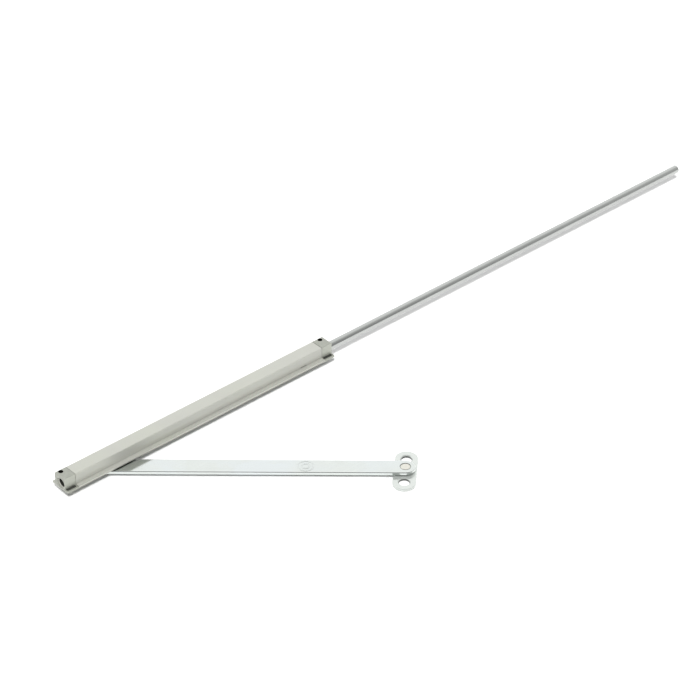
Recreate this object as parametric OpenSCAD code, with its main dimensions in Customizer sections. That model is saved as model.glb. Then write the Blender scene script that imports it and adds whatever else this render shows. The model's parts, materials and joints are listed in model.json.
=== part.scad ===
// Concealed slide-rail door closer: a hat-section rail with an end cap at each end, a slide block
// running inside it, a long push rod that leaves through one cap, and a flat swing arm that ends
// on a two-hole foot.
// Frame: origin midway between the two fixing-screw holes, on the plane of the flange's bearing
// face. +Y runs along the rail towards the rod's free end, +Z goes up into the door frame.

/* [Rail] */
// length of the aluminium rail between its caps
rail_l = 345; // [200:5:600]
// overall width across the two flanges
base_w = 27.5; // [24:0.5:40]
// width of the hat section above the flanges
hat_w = 17; // [16:0.5:24]
// height from the flange's underside to the top of the hat
rail_h = 15.8; // [15:0.2:24]
// thickness of the outer flanges
flange_t = 2.3; // [1.5:0.1:4]
// thickness of the hat's side walls
wall_t = 1.1; // [1:0.1:2]
// thickness of the hat's top wall
top_t = 1.4; // [1:0.1:3]
// thickness of the two lips that carry the slide block
lip_t = 1.6; // [1:0.1:3]
// width of the open slot between the lips
slot_w = 10; // [9.8:0.2:12]
// radius of the hat's two top edges
hat_r = 0.9; // [0.4:0.1:1.2]
// length of the staked window low on the rail's side
stake_l = 9; // [4:1:16]
// height of the sill left under that window
sill_h = 0.2; // [0.1:0.1:0.6]
// distance of that window from the far end of the rail
stake_from_end = 27; // [15:1:60]

/* [Caps] */
// length of each end cap beyond the rail
cap_l = 15; // [13:0.5:24]
// thickness of the cap's lip, a little thinner than the rail's flange
cap_lip_t = 1.5; // [1:0.1:2.2]
// radius of the lip's outer corners
cap_corner_r = 1.5; // [0.5:0.5:5]
// radius of the cap's edges
cap_edge_r = 0.7; // [0.4:0.1:1]
// width of the shadow groove at the joint between cap and rail
joint_w = 0.5; // [0.2:0.1:1]
// depth of that groove
joint_d = 0.7; // [0.2:0.1:1]
// screw hole's distance from the rail's middle plane
screw_x = 5.1; // [5:0.1:6]
// screw hole's distance from the joint between cap and rail
screw_y = 9.2; // [7:0.2:11]
// diameter of the screw's through hole
screw_d = 3.8; // [3:0.1:3.8]
// diameter of the countersink at the underside
sink_d = 7.6; // [6:0.2:8]
// diameter of the relief at the top of the screw hole
relief_d = 5.4; // [4:0.1:5.4]
// depth of that relief
relief_h = 4; // [0.5:0.1:4]
// length of the rounded pocket in a cap's lip, on the rod's side
cap_slot_l = 12.4; // [6:0.2:12.6]
// distance of that pocket from the joint
slot_from_joint = 1.2; // [0.6:0.1:1.2]
// width of that pocket
cap_slot_w = 3.6; // [2:0.1:4]
// thickness left under it
cap_slot_floor = 0.4; // [0.3:0.1:1]
// how far the pocket undercuts the cap's side
cap_slot_in = 0.6; // [0.2:0.1:1]
// height of that undercut above the lip
cap_slot_h = 1.6; // [0.5:0.1:2.5]
// length of the near cap's spigot inside the rail
near_spigot_l = 10; // [6:1:30]
// length of the far cap's spigot inside the rail
far_spigot_l = 34; // [10:1:60]
// clearance between a spigot and the channel
spigot_gap = 0.1; // [0.05:0.05:0.3]
// length of the rubber buffer on the near spigot
near_buffer_l = 4; // [2:0.5:12]
// length of the rubber buffer on the far spigot
far_buffer_l = 8; // [2:0.5:20]

/* [Push rod] */
// diameter of the push rod
rod_d = 10; // [8:0.1:10]
// length of rod that shows beyond the far cap
rod_out = 566; // [200:1:900]
// rod's sideways distance from the rail's middle plane
rod_x = 2.1; // [1.8:0.1:2.2]
// height of the rod's axis above the flange's underside
rod_z = 7.4; // [6.6:0.1:7.8]
// diameter of the reduced end held in the slide block
tail_d = 7; // [5:0.1:7.4]
// length of that reduced end
tail_l = 18; // [12:1:24]
// chamfer at the rod's free end
rod_chamfer = 0.5; // [0.2:0.1:1.5]
// outside diameter of the guide ring in each cap
ring_d = 12; // [11:0.1:12]
// how far the ring sits below the cap's end face
ring_in = 1.2; // [0.4:0.1:1.2]
// length of the guide ring
ring_l = 2.2; // [1.5:0.1:3]
// radial running clearance of the rod in its guide rings
ring_fit = 0.06; // [0.02:0.01:0.1]

/* [Slide block] */
// pivot's distance from the near end of the rail, at rest
pivot_from_end = 46; // [40:1:120]
// block length behind the pivot, towards the near end
block_back = 24; // [20:1:40]
// block length ahead of the pivot, towards the far end
block_front = 40; // [34:1:60]
// width of the block
block_w = 13.4; // [12:0.1:13.6]
// height of the block's underside above the flange's underside
block_z0 = 2.5; // [2.2:0.1:3]
// height of the block's top above the flange's underside
block_z1 = 13.6; // [12.5:0.1:13.8]
// air kept between the gliders and the channel
glide_gap = 0.3; // [0.2:0.05:0.5]
// diameter of the round side gliders
button_d = 6; // [4:0.5:8]

/* [Pivot] */
// diameter of the pivot pin
pin_d = 8; // [6:0.1:8.4]
// diameter of the pin's head under the arm
pin_head_d = 13; // [11:0.5:16]
// thickness of the pin's head
pin_head_t = 1.6; // [1:0.1:3]
// outside diameter of the spacer sleeve in the slot
spacer_d = 9.2; // [8.8:0.1:9.4]
// radial running clearance of the pins in their bushes
pin_fit = 0.05; // [0.02:0.01:0.1]

/* [Arm] */
// distance from the pivot to the foot's rivet
arm_l = 320; // [150:5:500]
// width of the arm
arm_w = 22; // [16:0.5:25]
// thickness of the arm
arm_t = 4; // [3.5:0.5:8]
// air between the rail's underside and the arm's top
arm_gap = 0.9; // [0.5:0.1:3]
// radius of the arm's long edges
arm_r = 0.9; // [0.3:0.1:2]
// angle between arm and rail, at rest
arm_angle = 42; // [0:1:120]
// outside diameter of the bush at the pivot end
arm_bush_d = 11; // [10:0.5:13]

/* [Foot] */
// length of the foot plate
foot_l = 67; // [50:1:90]
// width of the foot plate
foot_w = 25; // [20:0.5:32]
// thickness of the foot plate
foot_t = 3; // [2:0.5:6]
// radius of the foot plate's edges
foot_r = 0.5; // [0.2:0.1:1]
// distance between the two screw holes
foot_pitch = 40; // [30:1:60]
// diameter of the two screw holes
foot_hole_d = 11.8; // [5:0.1:12]
// depth of the bevel round each of them
foot_bevel = 1; // [0.2:0.1:1.2]
// angle of the foot plate against the rail, at rest
foot_angle = 44; // [-90:0.2:90]
// diameter of the foot rivet's shank
rivet_d = 8; // [6:0.5:10]
// diameter of the rivet's sunk head
rivet_head_d = 10.8; // [10:0.1:14]
// width of the gap round that head
rivet_gap = 0.65; // [0.2:0.05:1]
// depth of the head's seat in the arm
seat_h = 2.2; // [1.5:0.1:3]
// outside diameter of the bush round the rivet
foot_bush_d = 10; // [9:0.5:11]
// diameter of the washers under the arm
washer_d = 16; // [12:0.5:20]
// thickness of those washers
washer_t = 0.7; // [0.5:0.1:2]
// air between the arm and a washer
washer_gap = 0.3; // [0.1:0.05:0.5]

/* [Hidden] */
$fn = 96;
eps = 0.01;
chan_w = hat_w - 2 * wall_t;
chan_z1 = rail_h - top_t;
half_l = rail_l / 2;
pivot_y = -half_l + pivot_from_end;
block_y0 = pivot_y - block_back;
block_y1 = pivot_y + block_front;
rod_end_y = half_l + cap_l + rod_out;
bore_d = rod_d + 0.16;
arm_z1 = -arm_gap;
arm_z0 = arm_z1 - arm_t;
washer_z0 = arm_z0 - washer_gap - washer_t;
foot_z0 = washer_z0 - foot_t;
clip_z = block_z1 - 1.6;
spigot_x0 = -chan_w / 2 + spigot_gap;
spigot_x1 = rod_x - rod_d / 2 - 0.4;
buffer_z0 = lip_t + 0.5;
buffer_z1 = chan_z1 - 0.5;
grub_l = block_z1 - 0.2 - rod_z - tail_d / 2;
// Positions of the gliders and screws, along the block from the pivot.
top_pads = [[-22, 12], [9, 12]];
button_ys = [-17, 17];
screw_ys = [27, 35];
pad_w = 9;
lip_pad_w = 1.4;
lip_pad_l = 52;

// Moves the rail's own coordinates (middle plane, flange underside) into the part's frame.
module place() translate([screw_x, 0, -flange_t]) children();

// Extrudes a section drawn in X and Z along Y, from y0 to y1.
module along_y(y0, y1) translate([0, y1, 0]) rotate([90, 0, 0]) linear_extrude(y1 - y0) children();

// A rectangle from the origin with all four corners rounded.
module round_rect(w, h, r) {
    translate([r, 0]) square([w - 2 * r, h]);
    translate([0, r]) square([w, h - 2 * r]);
    for (x = [r, w - r], y = [r, h - r]) translate([x, y]) circle(r);
}

// A rectangle standing on the X axis with only its top corners rounded.
module round_top(w, h, r) {
    translate([-w / 2, 0]) square([w, h - r]);
    translate([-w / 2 + r, 0]) square([w - 2 * r, h]);
    for (s = [-1, 1]) translate([s * (w / 2 - r), h - r]) circle(r);
}

// A flat bar with round ends along +Y, its edges rounded, from one end's centre to the other's.
module flat_bar(len, w, t, r) {
    along_y(0, len) translate([-w / 2, 0]) round_rect(w, t, r);
    for (y = [0, len]) translate([0, y, 0]) rotate_extrude() {
        square([w / 2 - r, t]);
        translate([0, r]) square([w / 2, t - 2 * r]);
        for (z = [r, t - r]) translate([w / 2 - r, z]) circle(r);
    }
}

module ring(d_out, d_in, h) difference() {
    cylinder(d = d_out, h = h);
    translate([0, 0, -1]) cylinder(d = d_in, h = h + 2);
}

// Turns a cylinder's axis to +Y.
module to_y() rotate([-90, 0, 0]) children();

module rail_section() difference() {
    union() {
        round_top(hat_w, rail_h, hat_r);
        translate([-base_w / 2, 0]) round_rect(base_w, flange_t, 0.5);
    }
    translate([-chan_w / 2, lip_t]) square([chan_w, chan_z1 - lip_t]);
    translate([-slot_w / 2, -1]) square([slot_w, lip_t + 2]);
}

module rail() color([0.78, 0.78, 0.77]) place() difference() {
    along_y(-half_l, half_l) rail_section();
    translate([chan_w / 2 - 1, half_l - stake_from_end - stake_l / 2, flange_t + sill_h])
        cube([wall_t + 3, stake_l, 1.5 - sill_h]);
}

// The cap's outer block: its edges are rounded along, across and upwards.
module cap_block() intersection() {
    along_y(0, cap_l) round_top(hat_w, rail_h, cap_edge_r);
    translate([-hat_w / 2, -cap_edge_r * 2, 0]) linear_extrude(rail_h)
        round_rect(hat_w, cap_l + cap_edge_r * 2, cap_edge_r);
    translate([-hat_w / 2, 0, 0]) rotate([90, 0, 90]) linear_extrude(hat_w) {
        square([cap_l - cap_edge_r, rail_h]);
        square([cap_l, rail_h - cap_edge_r]);
        translate([cap_l - cap_edge_r, rail_h - cap_edge_r]) circle(cap_edge_r);
    }
}

// The lip at the foot of the cap, with rounded outer corners.
module cap_lip() linear_extrude(cap_lip_t) {
    translate([-base_w / 2, 0]) square([base_w, cap_l - cap_corner_r]);
    translate([-base_w / 2 + cap_corner_r, 0]) square([base_w - 2 * cap_corner_r, cap_l]);
    for (s = [-1, 1]) translate([s * (base_w / 2 - cap_corner_r), cap_l - cap_corner_r])
        circle(cap_corner_r);
}

// The part of a cap that plugs into the rail, beside and above the rod.
module spigot(len) translate([0, -len, 0]) {
    translate([spigot_x0, 0, lip_t + spigot_gap])
        cube([spigot_x1 - spigot_x0, len + eps, chan_z1 - lip_t - 2 * spigot_gap]);
    translate([spigot_x0, 0, rod_z + rod_d / 2 + 0.4])
        cube([chan_w - 2 * spigot_gap, len + eps, chan_z1 - spigot_gap - rod_z - rod_d / 2 - 0.4]);
}

// The rounded pocket low on the rod's side of a cap.
// The other side is plain, so the countersink stays whole.
module cap_side_slot() {
    r = cap_slot_w / 2;
    translate([hat_w / 2 - cap_slot_in + r, slot_from_joint, cap_slot_floor])
        linear_extrude(cap_lip_t - cap_slot_floor + cap_slot_h) {
            translate([-r, r]) square([cap_slot_w, cap_slot_l - 2 * r]);
            for (y = [r, cap_slot_l - r]) translate([0, y]) circle(r);
        }
}

// The groove round the cap at its joint with the rail.
module joint_groove() along_y(-eps, joint_w) difference() {
    translate([-base_w / 2 - 1, cap_lip_t - joint_d]) square([base_w + 2, rail_h + 2]);
    translate([0, -1]) round_top(hat_w - 2 * joint_d, rail_h + 1 - joint_d, hat_r);
}

// One cap, drawn with its joint at y = 0 and its end face towards +Y.
module cap(spigot_l) difference() {
    union() {
        cap_block();
        cap_lip();
        spigot(spigot_l);
    }
    translate([rod_x, -1, rod_z]) to_y() cylinder(d = bore_d, h = cap_l + 2);
    translate([rod_x, cap_l - ring_in - ring_l, rod_z]) to_y()
        cylinder(d = ring_d + 0.04, h = ring_l + ring_in + 1);
    translate([-screw_x, screw_y, 0]) {
        translate([0, 0, -1]) cylinder(d = screw_d, h = rail_h + 2);
        translate([0, 0, rail_h - relief_h]) cylinder(d = relief_d, h = relief_h + 1);
        translate([0, 0, -eps]) cylinder(d1 = sink_d, d2 = screw_d, h = (sink_d - screw_d) / 2);
    }
    cap_side_slot();
    joint_groove();
}

module near_cap() color([0.70, 0.71, 0.70]) place()
    translate([0, -half_l, 0]) mirror([0, 1, 0]) cap(near_spigot_l);

module far_cap() color([0.70, 0.71, 0.70]) place() translate([0, half_l, 0]) cap(far_spigot_l);

module guide_ring() ring(ring_d, rod_d + 2 * ring_fit, ring_l);

module near_ring() color([0.86, 0.86, 0.84]) place()
    translate([rod_x, -half_l - cap_l + ring_in, rod_z]) to_y() guide_ring();

module far_ring() color([0.86, 0.86, 0.84]) place()
    translate([rod_x, half_l + cap_l - ring_in - ring_l, rod_z]) to_y() guide_ring();

module buffer(len) translate([spigot_x0 + 0.2, 0, buffer_z0])
    cube([spigot_x1 - spigot_x0 - 0.4, len, buffer_z1 - buffer_z0]);

module near_buffer() color([0.10, 0.10, 0.10]) place()
    translate([0, -half_l + near_spigot_l, 0]) buffer(near_buffer_l);

module far_buffer() color([0.10, 0.10, 0.10]) place()
    translate([0, half_l - far_spigot_l - far_buffer_l, 0]) buffer(far_buffer_l);

module slide_block() color([0.55, 0.56, 0.58]) place() difference() {
    translate([-block_w / 2, block_y0, block_z0])
        cube([block_w, block_y1 - block_y0, block_z1 - block_z0]);
    translate([0, pivot_y, 0]) {
        translate([0, 0, -1]) cylinder(d = pin_d + 0.04, h = rail_h);
        translate([0, 0, clip_z]) cylinder(d = 12.6, h = 4);
        for (p = top_pads) translate([-pad_w / 2, p[0], block_z1 - 0.8]) cube([pad_w, p[1], 2]);
        for (y = button_ys, s = [-1, 1]) translate([s * (block_w / 2 - 1), y, 8])
            rotate([0, s * 90, 0]) cylinder(d = button_d, h = 2);
        for (s = [-1, 1]) translate([s * (block_w / 2 - lip_pad_w / 2), -lip_pad_l / 2 + 8, block_z0])
            translate([-lip_pad_w / 2 - 1, 0, -1]) cube([lip_pad_w + 2, lip_pad_l, 1.5]);
        for (y = screw_ys) translate([rod_x, y, rod_z]) cylinder(d = 4, h = rail_h);
    }
    translate([rod_x, block_y1 - tail_l - 0.5, rod_z]) to_y() cylinder(d = tail_d + 0.04, h = tail_l + 2);
}

module top_gliders() color([0.15, 0.15, 0.16]) place() for (p = top_pads)
    translate([-pad_w / 2, pivot_y + p[0], block_z1 - 0.8])
        cube([pad_w, p[1], chan_z1 - glide_gap - block_z1 + 0.8]);

module side_gliders() color([0.15, 0.15, 0.16]) place()
    for (y = button_ys, s = [-1, 1]) translate([s * (block_w / 2 - 1), pivot_y + y, 8])
        rotate([0, s * 90, 0]) cylinder(d = button_d, h = chan_w / 2 - glide_gap - block_w / 2 + 1);

module lip_gliders() color([0.15, 0.15, 0.16]) place() for (s = [-1, 1])
    translate([s * (block_w / 2 - lip_pad_w / 2) - lip_pad_w / 2, pivot_y - lip_pad_l / 2 + 8,
               lip_t + glide_gap])
        cube([lip_pad_w, lip_pad_l, block_z0 + 0.5 - lip_t - glide_gap]);

module rod() color([0.80, 0.82, 0.83]) place() translate([rod_x, 0, rod_z]) {
    translate([0, block_y1 - tail_l, 0]) to_y() cylinder(d = tail_d, h = tail_l + 1);
    translate([0, block_y1, 0]) to_y() cylinder(d = rod_d, h = rod_end_y - block_y1 - rod_chamfer);
    translate([0, rod_end_y - rod_chamfer, 0]) to_y()
        cylinder(d1 = rod_d, d2 = rod_d - 2 * rod_chamfer, h = rod_chamfer);
}

module rod_screws() color([0.25, 0.25, 0.26]) place() for (y = screw_ys)
    translate([rod_x, pivot_y + y, rod_z + tail_d / 2]) difference() {
        cylinder(d = 3.96, h = grub_l);
        translate([0, 0, grub_l - 1.4]) cylinder(d = 2.3, h = 2, $fn = 6);
    }

module pivot_pin() color([0.72, 0.73, 0.74]) place() translate([0, pivot_y, 0]) difference() {
    union() {
        translate([0, 0, washer_z0]) cylinder(d = pin_d, h = block_z1 - 0.2 - washer_z0);
        translate([0, 0, washer_z0 - pin_head_t]) {
            cylinder(d1 = pin_head_d - 1.2, d2 = pin_head_d, h = 0.6);
            translate([0, 0, 0.6]) cylinder(d = pin_head_d, h = pin_head_t - 0.6);
        }
    }
    translate([0, 0, clip_z + 0.2]) ring(pin_d + 1, pin_d - 1, 0.8);
}

module pivot_clip() color([0.30, 0.30, 0.32]) place()
    translate([0, pivot_y, clip_z + 0.25]) difference() {
        ring(11.8, pin_d - 0.96, 0.7);
        translate([0, -2, -1]) cube([8, 4, 3]);
    }

module pivot_spacer() color([0.80, 0.66, 0.36]) place()
    translate([0, pivot_y, arm_z1 + washer_gap]) ring(spacer_d, pin_d + 0.06,
                                                     block_z0 - arm_z1 - washer_gap);

module pivot_washer() color([0.75, 0.76, 0.77]) place()
    translate([0, pivot_y, washer_z0]) ring(washer_d, pin_d + 0.06, washer_t);

// Places what is drawn along +Y from the pivot at the arm's rest angle.
module on_arm() place() translate([0, pivot_y, 0]) rotate([0, 0, -arm_angle]) children();

module arm() color([0.83, 0.84, 0.86]) on_arm() difference() {
    translate([0, 0, arm_z0]) flat_bar(arm_l, arm_w, arm_t, arm_r);
    translate([0, 0, arm_z0 - 1]) cylinder(d = arm_bush_d + 0.04, h = arm_t + 2);
    translate([0, arm_l, arm_z0 - 1]) cylinder(d = foot_bush_d + 0.04, h = arm_t + 2);
    translate([0, arm_l, arm_z1 - seat_h]) cylinder(d = rivet_head_d + 2 * rivet_gap, h = seat_h + 1);
}

module arm_bush() color([0.80, 0.66, 0.36]) on_arm()
    translate([0, 0, arm_z0]) ring(arm_bush_d, pin_d + 2 * pin_fit, arm_t);

module foot_bush() color([0.80, 0.66, 0.36]) on_arm()
    translate([0, arm_l, arm_z0]) ring(foot_bush_d, rivet_d + 2 * pin_fit, arm_t - seat_h);

// Places what is drawn round the rivet at the foot's rest angle.
module on_foot() on_arm() translate([0, arm_l, 0]) rotate([0, 0, arm_angle + foot_angle]) children();

module foot_plate() color([0.84, 0.85, 0.86]) on_foot() difference() {
    translate([0, -(foot_l - foot_w) / 2, foot_z0]) flat_bar(foot_l - foot_w, foot_w, foot_t, foot_r);
    for (s = [-1, 1]) translate([0, s * foot_pitch / 2, foot_z0]) {
        translate([0, 0, -1]) cylinder(d = foot_hole_d, h = foot_t + 2);
        translate([0, 0, foot_t - foot_bevel])
            cylinder(d1 = foot_hole_d, d2 = foot_hole_d + 2 * foot_bevel + 0.02, h = foot_bevel + eps);
    }
    translate([0, 0, foot_z0 - 1]) cylinder(d = rivet_d + 0.04, h = foot_t + 2);
    translate([0, 0, foot_z0 - eps]) cylinder(d1 = rivet_d + 2, d2 = rivet_d, h = 1);
}

module foot_rivet() color([0.72, 0.73, 0.74]) on_foot() {
    translate([0, 0, arm_z1 - seat_h + washer_gap]) {
        cylinder(d = rivet_head_d, h = seat_h - washer_gap - 0.4);
        translate([0, 0, seat_h - washer_gap - 0.4])
            cylinder(d1 = rivet_head_d, d2 = rivet_head_d - 0.6, h = 0.3);
    }
    translate([0, 0, foot_z0]) cylinder(d = rivet_d, h = arm_z1 - seat_h + washer_gap + 0.5 - foot_z0);
    translate([0, 0, foot_z0]) cylinder(d1 = rivet_d + 1.9, d2 = rivet_d, h = 0.95);
}

module foot_washer() color([0.75, 0.76, 0.77]) on_foot()
    translate([0, 0, washer_z0]) ring(washer_d, rivet_d + 0.06, washer_t);

rail();
near_cap();
far_cap();
near_ring();
far_ring();
near_buffer();
far_buffer();
slide_block();
top_gliders();
side_gliders();
lip_gliders();
rod();
rod_screws();
pivot_pin();
pivot_clip();
pivot_spacer();
pivot_washer();
arm();
arm_bush();
foot_bush();
foot_plate();
foot_rivet();
foot_washer();
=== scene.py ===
"""Looks of the concealed slide-rail door closer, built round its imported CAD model.

Every CAD node keeps its shape and gets a procedural material. Lengths are in metres, in the CAD's frame:
+Y along the rail towards the rod's free end, +Z up. The only pieces added to the CAD nodes are the two low
rings of a blank round pad on the arm.
"""

import json
import math

import bpy
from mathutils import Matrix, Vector


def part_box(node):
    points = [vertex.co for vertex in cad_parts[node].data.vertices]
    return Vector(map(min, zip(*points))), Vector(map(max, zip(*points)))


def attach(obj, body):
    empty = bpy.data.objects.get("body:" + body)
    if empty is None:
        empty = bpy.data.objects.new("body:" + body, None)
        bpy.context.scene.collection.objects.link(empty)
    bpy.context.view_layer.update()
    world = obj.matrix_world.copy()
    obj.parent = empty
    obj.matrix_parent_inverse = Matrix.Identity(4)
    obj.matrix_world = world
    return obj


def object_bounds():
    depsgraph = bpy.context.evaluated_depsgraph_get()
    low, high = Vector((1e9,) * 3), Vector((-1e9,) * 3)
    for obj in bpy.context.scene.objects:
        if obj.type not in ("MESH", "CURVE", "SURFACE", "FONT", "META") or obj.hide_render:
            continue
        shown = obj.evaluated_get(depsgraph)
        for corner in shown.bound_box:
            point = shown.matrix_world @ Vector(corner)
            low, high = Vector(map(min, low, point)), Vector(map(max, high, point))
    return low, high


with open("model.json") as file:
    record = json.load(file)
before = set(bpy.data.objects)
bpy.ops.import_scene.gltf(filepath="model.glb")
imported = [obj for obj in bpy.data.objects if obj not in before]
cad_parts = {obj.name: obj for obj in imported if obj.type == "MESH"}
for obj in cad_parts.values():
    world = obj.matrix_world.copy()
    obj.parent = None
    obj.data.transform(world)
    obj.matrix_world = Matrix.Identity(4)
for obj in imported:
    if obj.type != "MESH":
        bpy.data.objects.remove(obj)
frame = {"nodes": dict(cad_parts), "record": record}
NODES = frame["nodes"]
CAD_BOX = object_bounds()

# ---------------------------------------------------------------- camera and room
VIEW_AZIMUTH = 48.42  # degrees, 0 looks along +Y
VIEW_ELEVATION = 35.43
VIEW_DISTANCE = 3.303
VIEW_CENTRE = Vector((0.0824, 0.1536, 0.0566))
LENS_MM = 155.67
SENSOR_MM = 36.0
FLOOR_GAP = 0.0002
FLOOR_HALF = 30.0
FLOOR_TONE = 0.86
BACK_BRIGHT, BACK_DIM, FRONT_DARK = 1.18, 0.74, 0.2  # radiance of the room round the table
FRONT_TOWARDS = (0.70, -0.62, 0.35)
SUN_STRENGTH = 3.6
SUN_AZIMUTH, SUN_ELEVATION, SUN_SPREAD = 48.0, 54.5, 12.0  # degrees

# ---------------------------------------------------------------- arm and foot at rest, metres
ARM_TURN, FOOT_TURN = math.radians(42.0), math.radians(-44.0)  # from +Y towards +X
FOOT_HOLE_R, FOOT_HOLE_OUT = 0.0059, 0.020  # the distance is from the rivet
PAD_OUT = 0.2135  # from the pivot
PAD_RIM_R, PAD_RIM_WIDTH = 0.0084, 0.0015
PAD_CENTRE_R, PAD_CENTRE_WIDTH = 0.0040, 0.0018
PAD_HEIGHT = 0.0002

# ---------------------------------------------------------------- the caps' holes and pockets, metres
# Each Y here is a distance from the rail's middle, the same for both caps.
RAIL_X = 0.0051  # the rail's middle plane
HOLE_Y, HOLE_R = 0.1817, 0.0027  # screw holes, at X = 0
BORE_X, BORE_Z, BORE_R = 0.0072, 0.0051, 0.0051  # the rod's passage
RING_LIT, RING_FADE = 0.1857, 0.0006  # a guide ring gets a painted shade further in than this
JOINT_END = 0.17297  # end of the groove between cap and rail
JOINT_LOW, JOINT_TOP = 0.0105, 0.0126  # the painted shade in that groove grows from none to full between these heights
LIP_TOP = -0.0008
POCKET_X = 0.0097  # from the rail's middle plane, on the rod's side
POCKET_Y, POCKET_LENGTH, POCKET_R = 0.1799, 0.0124, 0.00182
MASK_START, MASK_END = 0.00002, 0.00008  # a round mask fades out this far beyond its radius

# ---------------------------------------------------------------- colours (linear)
ALUMINIUM = (0.424, 0.428, 0.391)
ALUMINIUM_GREEN = (0.42, 0.43, 0.378)
CAST_ZINC = (0.30, 0.31, 0.272)
BRIGHT_ZINC = (0.698, 0.734, 0.710)
FOOT_ZINC = (0.59, 0.62, 0.595)
BLUE_ZINC = (0.69, 0.733, 0.742)
ROD_ZINC = (0.50, 0.515, 0.50)
RIVET_ZINC = (0.74, 0.73, 0.66)
STEEL = (0.48, 0.49, 0.50)
BRONZE = (0.62, 0.44, 0.20)
ACETAL_PALE = (0.46, 0.46, 0.42)
ACETAL_BLACK = (0.02, 0.02, 0.022)
RUBBER = (0.012, 0.012, 0.012)
BLACK_OXIDE = (0.03, 0.03, 0.032)
BLUED_STEEL = (0.10, 0.10, 0.11)
# painted shade: the colour deep in the caps' holes, bore and pocket
HOLE_PAINTED_SHADE = (0.006, 0.006, 0.005)

# ---------------------------------------------------------------- tones as a share of the colour: dark cast spots, painted light and painted shade
# dark spots of the casting; painted light on the side faces and on the lip; painted shade in the joint groove
CAST_SPOT, CAST_SIDE_PAINTED_LIGHT, CAST_LIP_PAINTED_LIGHT, CAST_GROOVE_PAINTED_SHADE = 0.72, 1.32, 1.18, 0.03
# painted shade deep in the guide rings
RING_SHADE = 0.03
# painted shade on the walls of the foot's holes
PUNCHED_SHADE = 0.16
POCKET_PAINTED_SHADE, BORE_PAINTED_SHADE = 0.85, 0.9  # how far the painted shade in pocket and bore goes to the hole colour; in the screw holes it goes all the way


class Graph:
    """A short way to write a node material."""

    def __init__(self, name):
        self.mat = bpy.data.materials.new(name)
        self.mat.use_nodes = True
        self.tree = self.mat.node_tree
        self.bsdf = self.tree.nodes["Principled BSDF"]

    def add(self, kind, inputs=None, **props):
        n = self.tree.nodes.new(kind)
        for k, v in props.items():
            setattr(n, k, v)
        for k, v in (inputs or {}).items():
            self.put(n.inputs[k], v)
        return n

    def put(self, socket, value):
        if isinstance(value, bpy.types.NodeSocket):
            self.tree.links.new(value, socket)
        else:
            socket.default_value = value

    def set(self, **values):
        for k, v in values.items():
            self.put(self.bsdf.inputs[k.replace("_", " ")], v)

    def coords(self, scale, rotation=(0, 0, 0)):
        """The point in the part's own frame, turned and scaled; the scale sets how fine a noise is."""
        c = self.add("ShaderNodeTexCoord")
        m = self.add("ShaderNodeMapping", {"Vector": c.outputs["Object"], "Scale": scale, "Rotation": rotation})
        return m.outputs["Vector"]

    def noise(self, vector, detail, rough, distortion=0.0):
        n = self.add("ShaderNodeTexNoise", {"Vector": vector, "Scale": 1.0, "Detail": detail,
                                            "Roughness": rough, "Distortion": distortion})
        return n.outputs["Fac"]

    def spread(self, value, lo, hi, to_lo=0.0, to_hi=1.0):
        """The value mapped from lo..hi to to_lo..to_hi, and held at the ends."""
        m = self.add("ShaderNodeMapRange", {"Value": value, "From Min": lo, "From Max": hi,
                                            "To Min": to_lo, "To Max": to_hi}, clamp=True)
        return m.outputs["Result"]

    def place(self):
        """The X, Y and Z of the point in the part's own frame, in metres."""
        c = self.add("ShaderNodeTexCoord")
        return self.add("ShaderNodeSeparateXYZ", {"Vector": c.outputs["Object"]}).outputs

    def within(self, radius, a, b):
        """1 where the offset (a, b) is shorter than the radius, else 0."""
        r = self.math("SQRT", self.math("ADD", self.math("MULTIPLY", a, a), self.math("MULTIPLY", b, b)))
        return self.spread(r, radius + MASK_START, radius + MASK_END, 1.0, 0.0)

    def math(self, op, a, b=0.0):
        return self.add("ShaderNodeMath", {0: a, 1: b}, operation=op).outputs["Value"]

    def blend(self, factor, a, b):
        """Colour a at factor 0, colour b at factor 1."""
        m = self.add("ShaderNodeMix", data_type="RGBA")
        self.put(m.inputs[0], factor)
        for socket, v in ((m.inputs[6], a), (m.inputs[7], b)):
            self.put(socket, (*v, 1.0) if isinstance(v, tuple) and len(v) == 3 else v)
        return m.outputs[2]

    def bump(self, height, strength, distance, normal):
        b = self.add("ShaderNodeBump", {"Height": height, "Strength": strength, "Distance": distance,
                                        "Normal": normal})
        return b.outputs["Normal"]

    def soft_edges(self, radius):
        return self.add("ShaderNodeBevel", {"Radius": radius}, samples=6).outputs["Normal"]


def shade(colour, k):
    """The colour made k times as bright."""
    return tuple(min(1.0, v * k) for v in colour)


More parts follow.
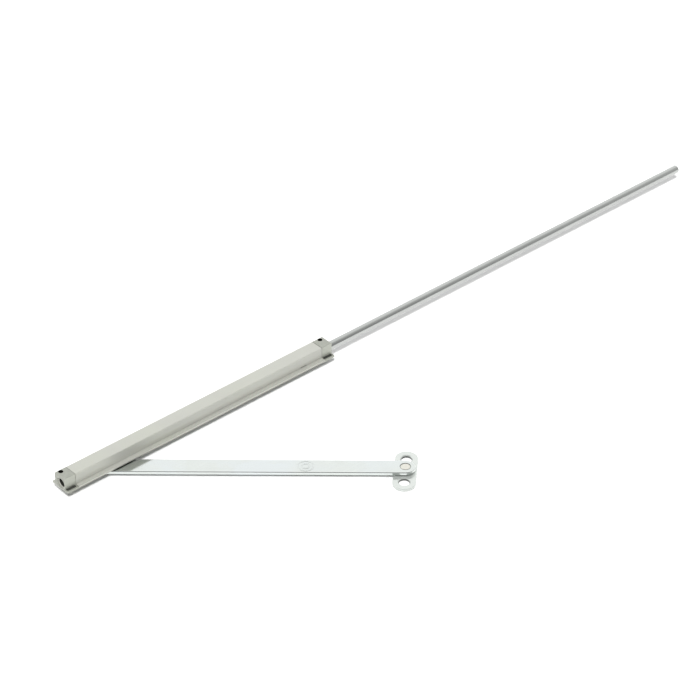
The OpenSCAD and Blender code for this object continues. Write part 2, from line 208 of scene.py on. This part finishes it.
def drawn_metal(name, colour, rough, along=(0, 0, 0), streak=900.0, edge=0.0002, streak_bump=0.25,
                cloud=0.05, metallic=1.0, tint=None, punched=()):
    """Metal with fine lines along Y (turned by `along`), clouded tone and softened edges.

    `punched` lists upright holes as (x, y, radius), whose walls get a painted shade."""
    g = Graph(name)
    lines = g.coords((streak, 3.0, streak), along)
    fine = g.noise(lines, 4.0, 0.6)
    broad = g.noise(g.coords((60, 6, 60), along), 3.0, 0.5)
    cloud_fac = g.noise(g.coords((26, 26, 26)), 4.0, 0.55, 0.4)
    specks = g.noise(g.coords((1500, 1500, 1500)), 2.0, 0.5)
    tone = g.blend(g.spread(fine, 0.3, 0.7), shade(colour, 0.955), shade(colour, 1.03))
    tone = g.blend(g.spread(broad, 0.35, 0.65, 0.0, 0.6), tone, shade(colour, 0.97))
    tone = g.blend(g.spread(cloud_fac, 0.35, 0.7, 0.0, 1.0), tone, shade(colour, 1.0 - cloud))
    if tint:
        patches = g.noise(g.coords((13, 13, 13)), 3.0, 0.6, 0.8)
        tone = g.blend(g.spread(patches, 0.42, 0.66, 0.0, 0.8), tone, tint)
    # painted shade on the walls of the punched holes
    for hole_x, hole_y, radius in punched:
        at = g.place()
        wall = g.within(radius, g.math("SUBTRACT", at["X"], hole_x), g.math("SUBTRACT", at["Y"], hole_y))
        tone = g.blend(wall, tone, shade(colour, PUNCHED_SHADE))
    g.set(Base_Color=tone, Metallic=metallic)
    lined = g.spread(fine, 0.25, 0.75, rough * 0.88, rough * 1.14)
    g.set(Roughness=g.math("ADD", lined, g.spread(cloud_fac, 0.35, 0.7, -0.02, 0.05)))
    normal = g.bump(fine, streak_bump, 0.00002, g.soft_edges(edge))
    g.set(Normal=g.bump(specks, 0.06, 0.00002, normal))
    return g.mat


def cast_metal(name, colour, rough=0.52, grain=1800.0, edge=0.0003):
    """Matt die casting with flow marks and dark spots.

    Its side faces and lip get painted light, and its screw holes, bore, pocket and joint groove get painted
    shade, with less sheen in the holes, bore and pocket; the pocket's painted shade also shows on the cap's
    underside."""
    g = Graph(name)
    grain_fac = g.noise(g.coords((grain, grain, grain)), 3.0, 0.6)
    flow = g.noise(g.coords((90, 240, 90)), 3.0, 0.5, 1.2)
    spots = g.noise(g.coords((420, 420, 420)), 2.0, 0.5)
    tone = g.blend(g.spread(flow, 0.35, 0.65), shade(colour, 0.93), shade(colour, 1.04))
    tone = g.blend(g.spread(spots, 0.62, 0.74, 0.0, 0.35), tone, shade(colour, CAST_SPOT))
    x, y, z = g.place()
    end = g.math("ABSOLUTE", y)
    facing = g.add("ShaderNodeSeparateXYZ", {"Vector": g.add("ShaderNodeTexCoord").outputs["Normal"]}).outputs
    # painted light: faces turned sideways are made paler
    tone = g.blend(g.spread(g.math("ABSOLUTE", facing["X"]), 0.4, 0.8), tone, shade(colour, CAST_SIDE_PAINTED_LIGHT))
    # painted light on the lip and on everything below its top
    tone = g.blend(g.spread(z, LIP_TOP - 0.0001, LIP_TOP + 0.0002, 1.0, 0.0), tone, shade(colour, CAST_LIP_PAINTED_LIGHT))
    # painted shade inside the screw holes, the rod's bore and the pocket; the pocket's shade has no lower limit,
    # so it also shows on the cap's underside
    screw = g.within(HOLE_R, x, g.math("SUBTRACT", end, HOLE_Y))
    bore = g.within(BORE_R, g.math("SUBTRACT", x, BORE_X), g.math("SUBTRACT", z, BORE_Z))
    across = g.math("SUBTRACT", x, RAIL_X + POCKET_X)
    from_middle = g.math("ABSOLUTE", g.math("SUBTRACT", end, POCKET_Y))
    past_straight = g.math("MAXIMUM", g.math("SUBTRACT", from_middle, POCKET_LENGTH / 2 - POCKET_R), 0.0)
    below_lip = g.spread(z, LIP_TOP - 0.00008, LIP_TOP - 0.00004, POCKET_PAINTED_SHADE, 0.0)
    pocket = g.math("MULTIPLY", g.within(POCKET_R, across, past_straight), below_lip)
    inside = g.math("MAXIMUM", g.math("MAXIMUM", screw, pocket), g.math("MULTIPLY", bore, BORE_PAINTED_SHADE))
    outside = g.math("SUBTRACT", 1.0, inside)
    # painted shade in the joint groove beside the rail
    groove = g.math("MULTIPLY", g.spread(end, JOINT_END, JOINT_END + 0.00005, 1.0, 0.0),
                    g.spread(z, JOINT_LOW, JOINT_TOP, 0.0, 1.0))
    tone = g.blend(groove, tone, shade(colour, CAST_GROOVE_PAINTED_SHADE))
    tone = g.blend(inside, tone, HOLE_PAINTED_SHADE)
    # less metal sheen and specular where the painted shade lies in holes, bore and pocket
    g.set(Base_Color=tone, Metallic=g.math("MULTIPLY", outside, 0.3))
    g.set(Specular_IOR_Level=g.math("MULTIPLY", outside, 0.5))
    g.set(Roughness=g.spread(grain_fac, 0.3, 0.7, rough * 0.9, rough * 1.12))
    normal = g.bump(grain_fac, 0.35, 0.00004, g.soft_edges(edge))
    g.set(Normal=g.bump(flow, 0.12, 0.0002, normal))
    return g.mat


def moulded(name, colour, rough=0.42, spec=0.5, edge=0.0002, grain=900.0, shaded_from=None):
    """Moulded plastic or rubber with a fine grain.

    It gets a painted shade nearer the rail's middle than `shaded_from`, where that is given."""
    g = Graph(name)
    grain_fac = g.noise(g.coords((grain, grain, grain)), 3.0, 0.55)
    cloud_fac = g.noise(g.coords((120, 120, 120)), 3.0, 0.5)
    tone = g.blend(cloud_fac, shade(colour, 0.85), shade(colour, 1.12))
    if shaded_from:
        # painted shade deep inside the ring
        end = g.math("ABSOLUTE", g.place()["Y"])
        shaded = g.spread(end, shaded_from - RING_FADE, shaded_from, 1.0, 0.0)
        tone = g.blend(shaded, tone, shade(colour, RING_SHADE))
    g.set(Base_Color=tone, Metallic=0.0)
    g.set(Roughness=g.spread(grain_fac, 0.3, 0.7, rough * 0.85, rough * 1.15))
    g.set(Specular_IOR_Level=spec)
    g.set(Normal=g.bump(grain_fac, 0.25, 0.00004, g.soft_edges(edge)))
    return g.mat


def out_from(node, turn, distance):
    """The X and Y of the point that lies `distance` from the CAD node's middle, `turn` from +Y towards +X."""
    low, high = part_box(node)
    x, y = (low.x + high.x) / 2, (low.y + high.y) / 2
    return x + distance * math.sin(turn), y + distance * math.cos(turn)


FOOT_HOLES = [(*out_from("foot_rivet", FOOT_TURN, distance), FOOT_HOLE_R)
              for distance in (-FOOT_HOLE_OUT, FOOT_HOLE_OUT)]

MATERIALS = {
    "rail_aluminium": drawn_metal("rail_aluminium", ALUMINIUM, 0.36, streak=1400, streak_bump=0.3, metallic=0.18,
                                  tint=ALUMINIUM_GREEN),
    "cap_zinc": cast_metal("cap_zinc", CAST_ZINC, 0.34),
    "ring_plastic": moulded("ring_plastic", ACETAL_PALE, 0.35, shaded_from=RING_LIT),
    "buffer_rubber": moulded("buffer_rubber", RUBBER, 0.7, 0.3),
    "block_steel": drawn_metal("block_steel", STEEL, 0.38, streak=700),
    "glider_plastic": moulded("glider_plastic", ACETAL_BLACK, 0.4),
    "rod_steel": drawn_metal("rod_steel", ROD_ZINC, 0.17, streak=1100, streak_bump=0.1, cloud=0.06),
    "black_screws": moulded("black_screws", BLACK_OXIDE, 0.35, 0.6),
    "pin_steel": drawn_metal("pin_steel", RIVET_ZINC, 0.3, streak=300, cloud=0.1),
    "spring_clip": drawn_metal("spring_clip", BLUED_STEEL, 0.3),
    "bush_brass": drawn_metal("bush_brass", BRONZE, 0.4, streak=500),
    "washer_steel": drawn_metal("washer_steel", BRIGHT_ZINC, 0.28, streak=500),
    "arm_steel": drawn_metal("arm_steel", BRIGHT_ZINC, 0.1, (0, 0, ARM_TURN), 800, streak_bump=0.06,
                             tint=BLUE_ZINC),
    "foot_steel": drawn_metal("foot_steel", FOOT_ZINC, 0.14, (0, 0, FOOT_TURN), 800, streak_bump=0.1,
                              metallic=0.52, punched=FOOT_HOLES),
}

for part in frame["record"]["subparts"]:
    node = NODES[part["node"]]
    node.data.materials.clear()
    node.data.materials.append(MATERIALS[part["material_slot"]])
    for p in node.data.polygons:
        p.material_index = 0


def raised_ring(name, centre, radius, width, height, body, slot):
    """A low round-topped ring lying flat, its foot sunk into the face it sits on."""
    # across and up, as shares of the width and the height
    section = ((-0.5, -0.5), (-0.5, 0.3), (-0.3, 0.85), (0.0, 1.0), (0.3, 0.85), (0.5, 0.3), (0.5, -0.5))
    steps, m = 96, len(section)
    verts = []
    for i in range(steps):
        a = 2 * math.pi * i / steps
        for across, up in section:
            r = radius + across * width
            verts.append((centre[0] + r * math.cos(a), centre[1] + r * math.sin(a), centre[2] + up * height))
    faces = []
    for i in range(steps):
        n = (i + 1) % steps
        for k in range(m):
            q = (k + 1) % m
            faces.append((i * m + k, n * m + k, n * m + q, i * m + q))
    mesh = bpy.data.meshes.new(name)
    mesh.from_pydata(verts, [], faces)
    mesh.shade_smooth()
    mesh.materials.append(MATERIALS[slot])
    obj = bpy.data.objects.new(name, mesh)
    bpy.context.scene.collection.objects.link(obj)
    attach(obj, body)


# A blank round pad on the arm, two thirds of the way to the foot.
PAD = (*out_from("pivot_pin", ARM_TURN, PAD_OUT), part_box("arm")[1].z)
raised_ring("pad_rim", PAD, PAD_RIM_R, PAD_RIM_WIDTH, PAD_HEIGHT, "swing_arm", "arm_steel")
raised_ring("pad_centre", PAD, PAD_CENTRE_R, PAD_CENTRE_WIDTH, PAD_HEIGHT, "swing_arm", "arm_steel")


# ---------------------------------------------------------------- floor, light, camera
def towards(azimuth, elevation):
    """The unit vector from the object towards a camera or light at these angles, in degrees."""
    a, e = math.radians(azimuth), math.radians(elevation)
    return Vector((math.sin(a) * math.cos(e), -math.cos(a) * math.cos(e), math.sin(e)))


def studio():
    """A level pale floor, one soft sun, and a room that is bright behind the object and dark in front."""
    low = CAD_BOX[0].z - FLOOR_GAP
    bpy.ops.mesh.primitive_plane_add(size=2 * FLOOR_HALF, location=(0, 0, low))
    floor = bpy.context.object
    floor.name = "floor"
    g = Graph("floor_white")
    g.set(Base_Color=(FLOOR_TONE, FLOOR_TONE, FLOOR_TONE, 1.0), Roughness=0.95, Specular_IOR_Level=0.0)
    floor.data.materials.append(g.mat)

    world = bpy.data.worlds.new("studio")
    world.use_nodes = True
    nodes, links = world.node_tree.nodes, world.node_tree.links
    direction = nodes.new("ShaderNodeTexCoord").outputs["Generated"]

    def fade(axis, lo, hi, start, end):
        """A smooth change from start to end as the direction turns towards the axis."""
        dot = nodes.new("ShaderNodeVectorMath")
        dot.operation = "DOT_PRODUCT"
        dot.inputs[1].default_value = axis
        links.new(direction, dot.inputs[0])
        ramp = nodes.new("ShaderNodeMapRange")
        ramp.interpolation_type = "SMOOTHSTEP"
        links.new(dot.outputs["Value"], ramp.inputs["Value"])
        for name, v in (("From Min", lo), ("From Max", hi), ("To Min", start), ("To Max", end)):
            if isinstance(v, float):
                ramp.inputs[name].default_value = v
            else:
                links.new(v, ramp.inputs[name])
        return ramp.outputs["Result"]

    back = fade((1.0, 0.0, 0.0), -0.3, 0.35, BACK_BRIGHT, BACK_DIM)
    level = fade(FRONT_TOWARDS, 0.1, 0.5, back, FRONT_DARK)
    nodes["Background"].inputs["Color"].default_value = (1.0, 1.0, 1.0, 1.0)
    links.new(level, nodes["Background"].inputs["Strength"])
    bpy.context.scene.world = world

    light = bpy.data.lights.new("key", "SUN")
    light.energy, light.angle = SUN_STRENGTH, math.radians(SUN_SPREAD)
    key = bpy.data.objects.new("key", light)
    bpy.context.scene.collection.objects.link(key)
    key.rotation_mode = "QUATERNION"
    key.rotation_quaternion = towards(SUN_AZIMUTH, SUN_ELEVATION).to_track_quat("Z", "Y")
    key.visible_glossy = False


def camera():
    """The photograph's viewpoint, with no shift and no depth of field."""
    back = towards(VIEW_AZIMUTH, VIEW_ELEVATION)
    data = bpy.data.cameras.new("camera")
    data.lens, data.sensor_width = LENS_MM, SENSOR_MM
    data.clip_start, data.clip_end = 0.05, 50.0
    o = bpy.data.objects.new("camera", data)
    bpy.context.scene.collection.objects.link(o)
    o.location = VIEW_CENTRE + back * VIEW_DISTANCE
    o.rotation_mode = "QUATERNION"
    o.rotation_quaternion = (-back).to_track_quat("-Z", "Y")
    bpy.context.scene.camera = o


studio()
camera()
bpy.context.scene.view_settings.view_transform = "Standard"
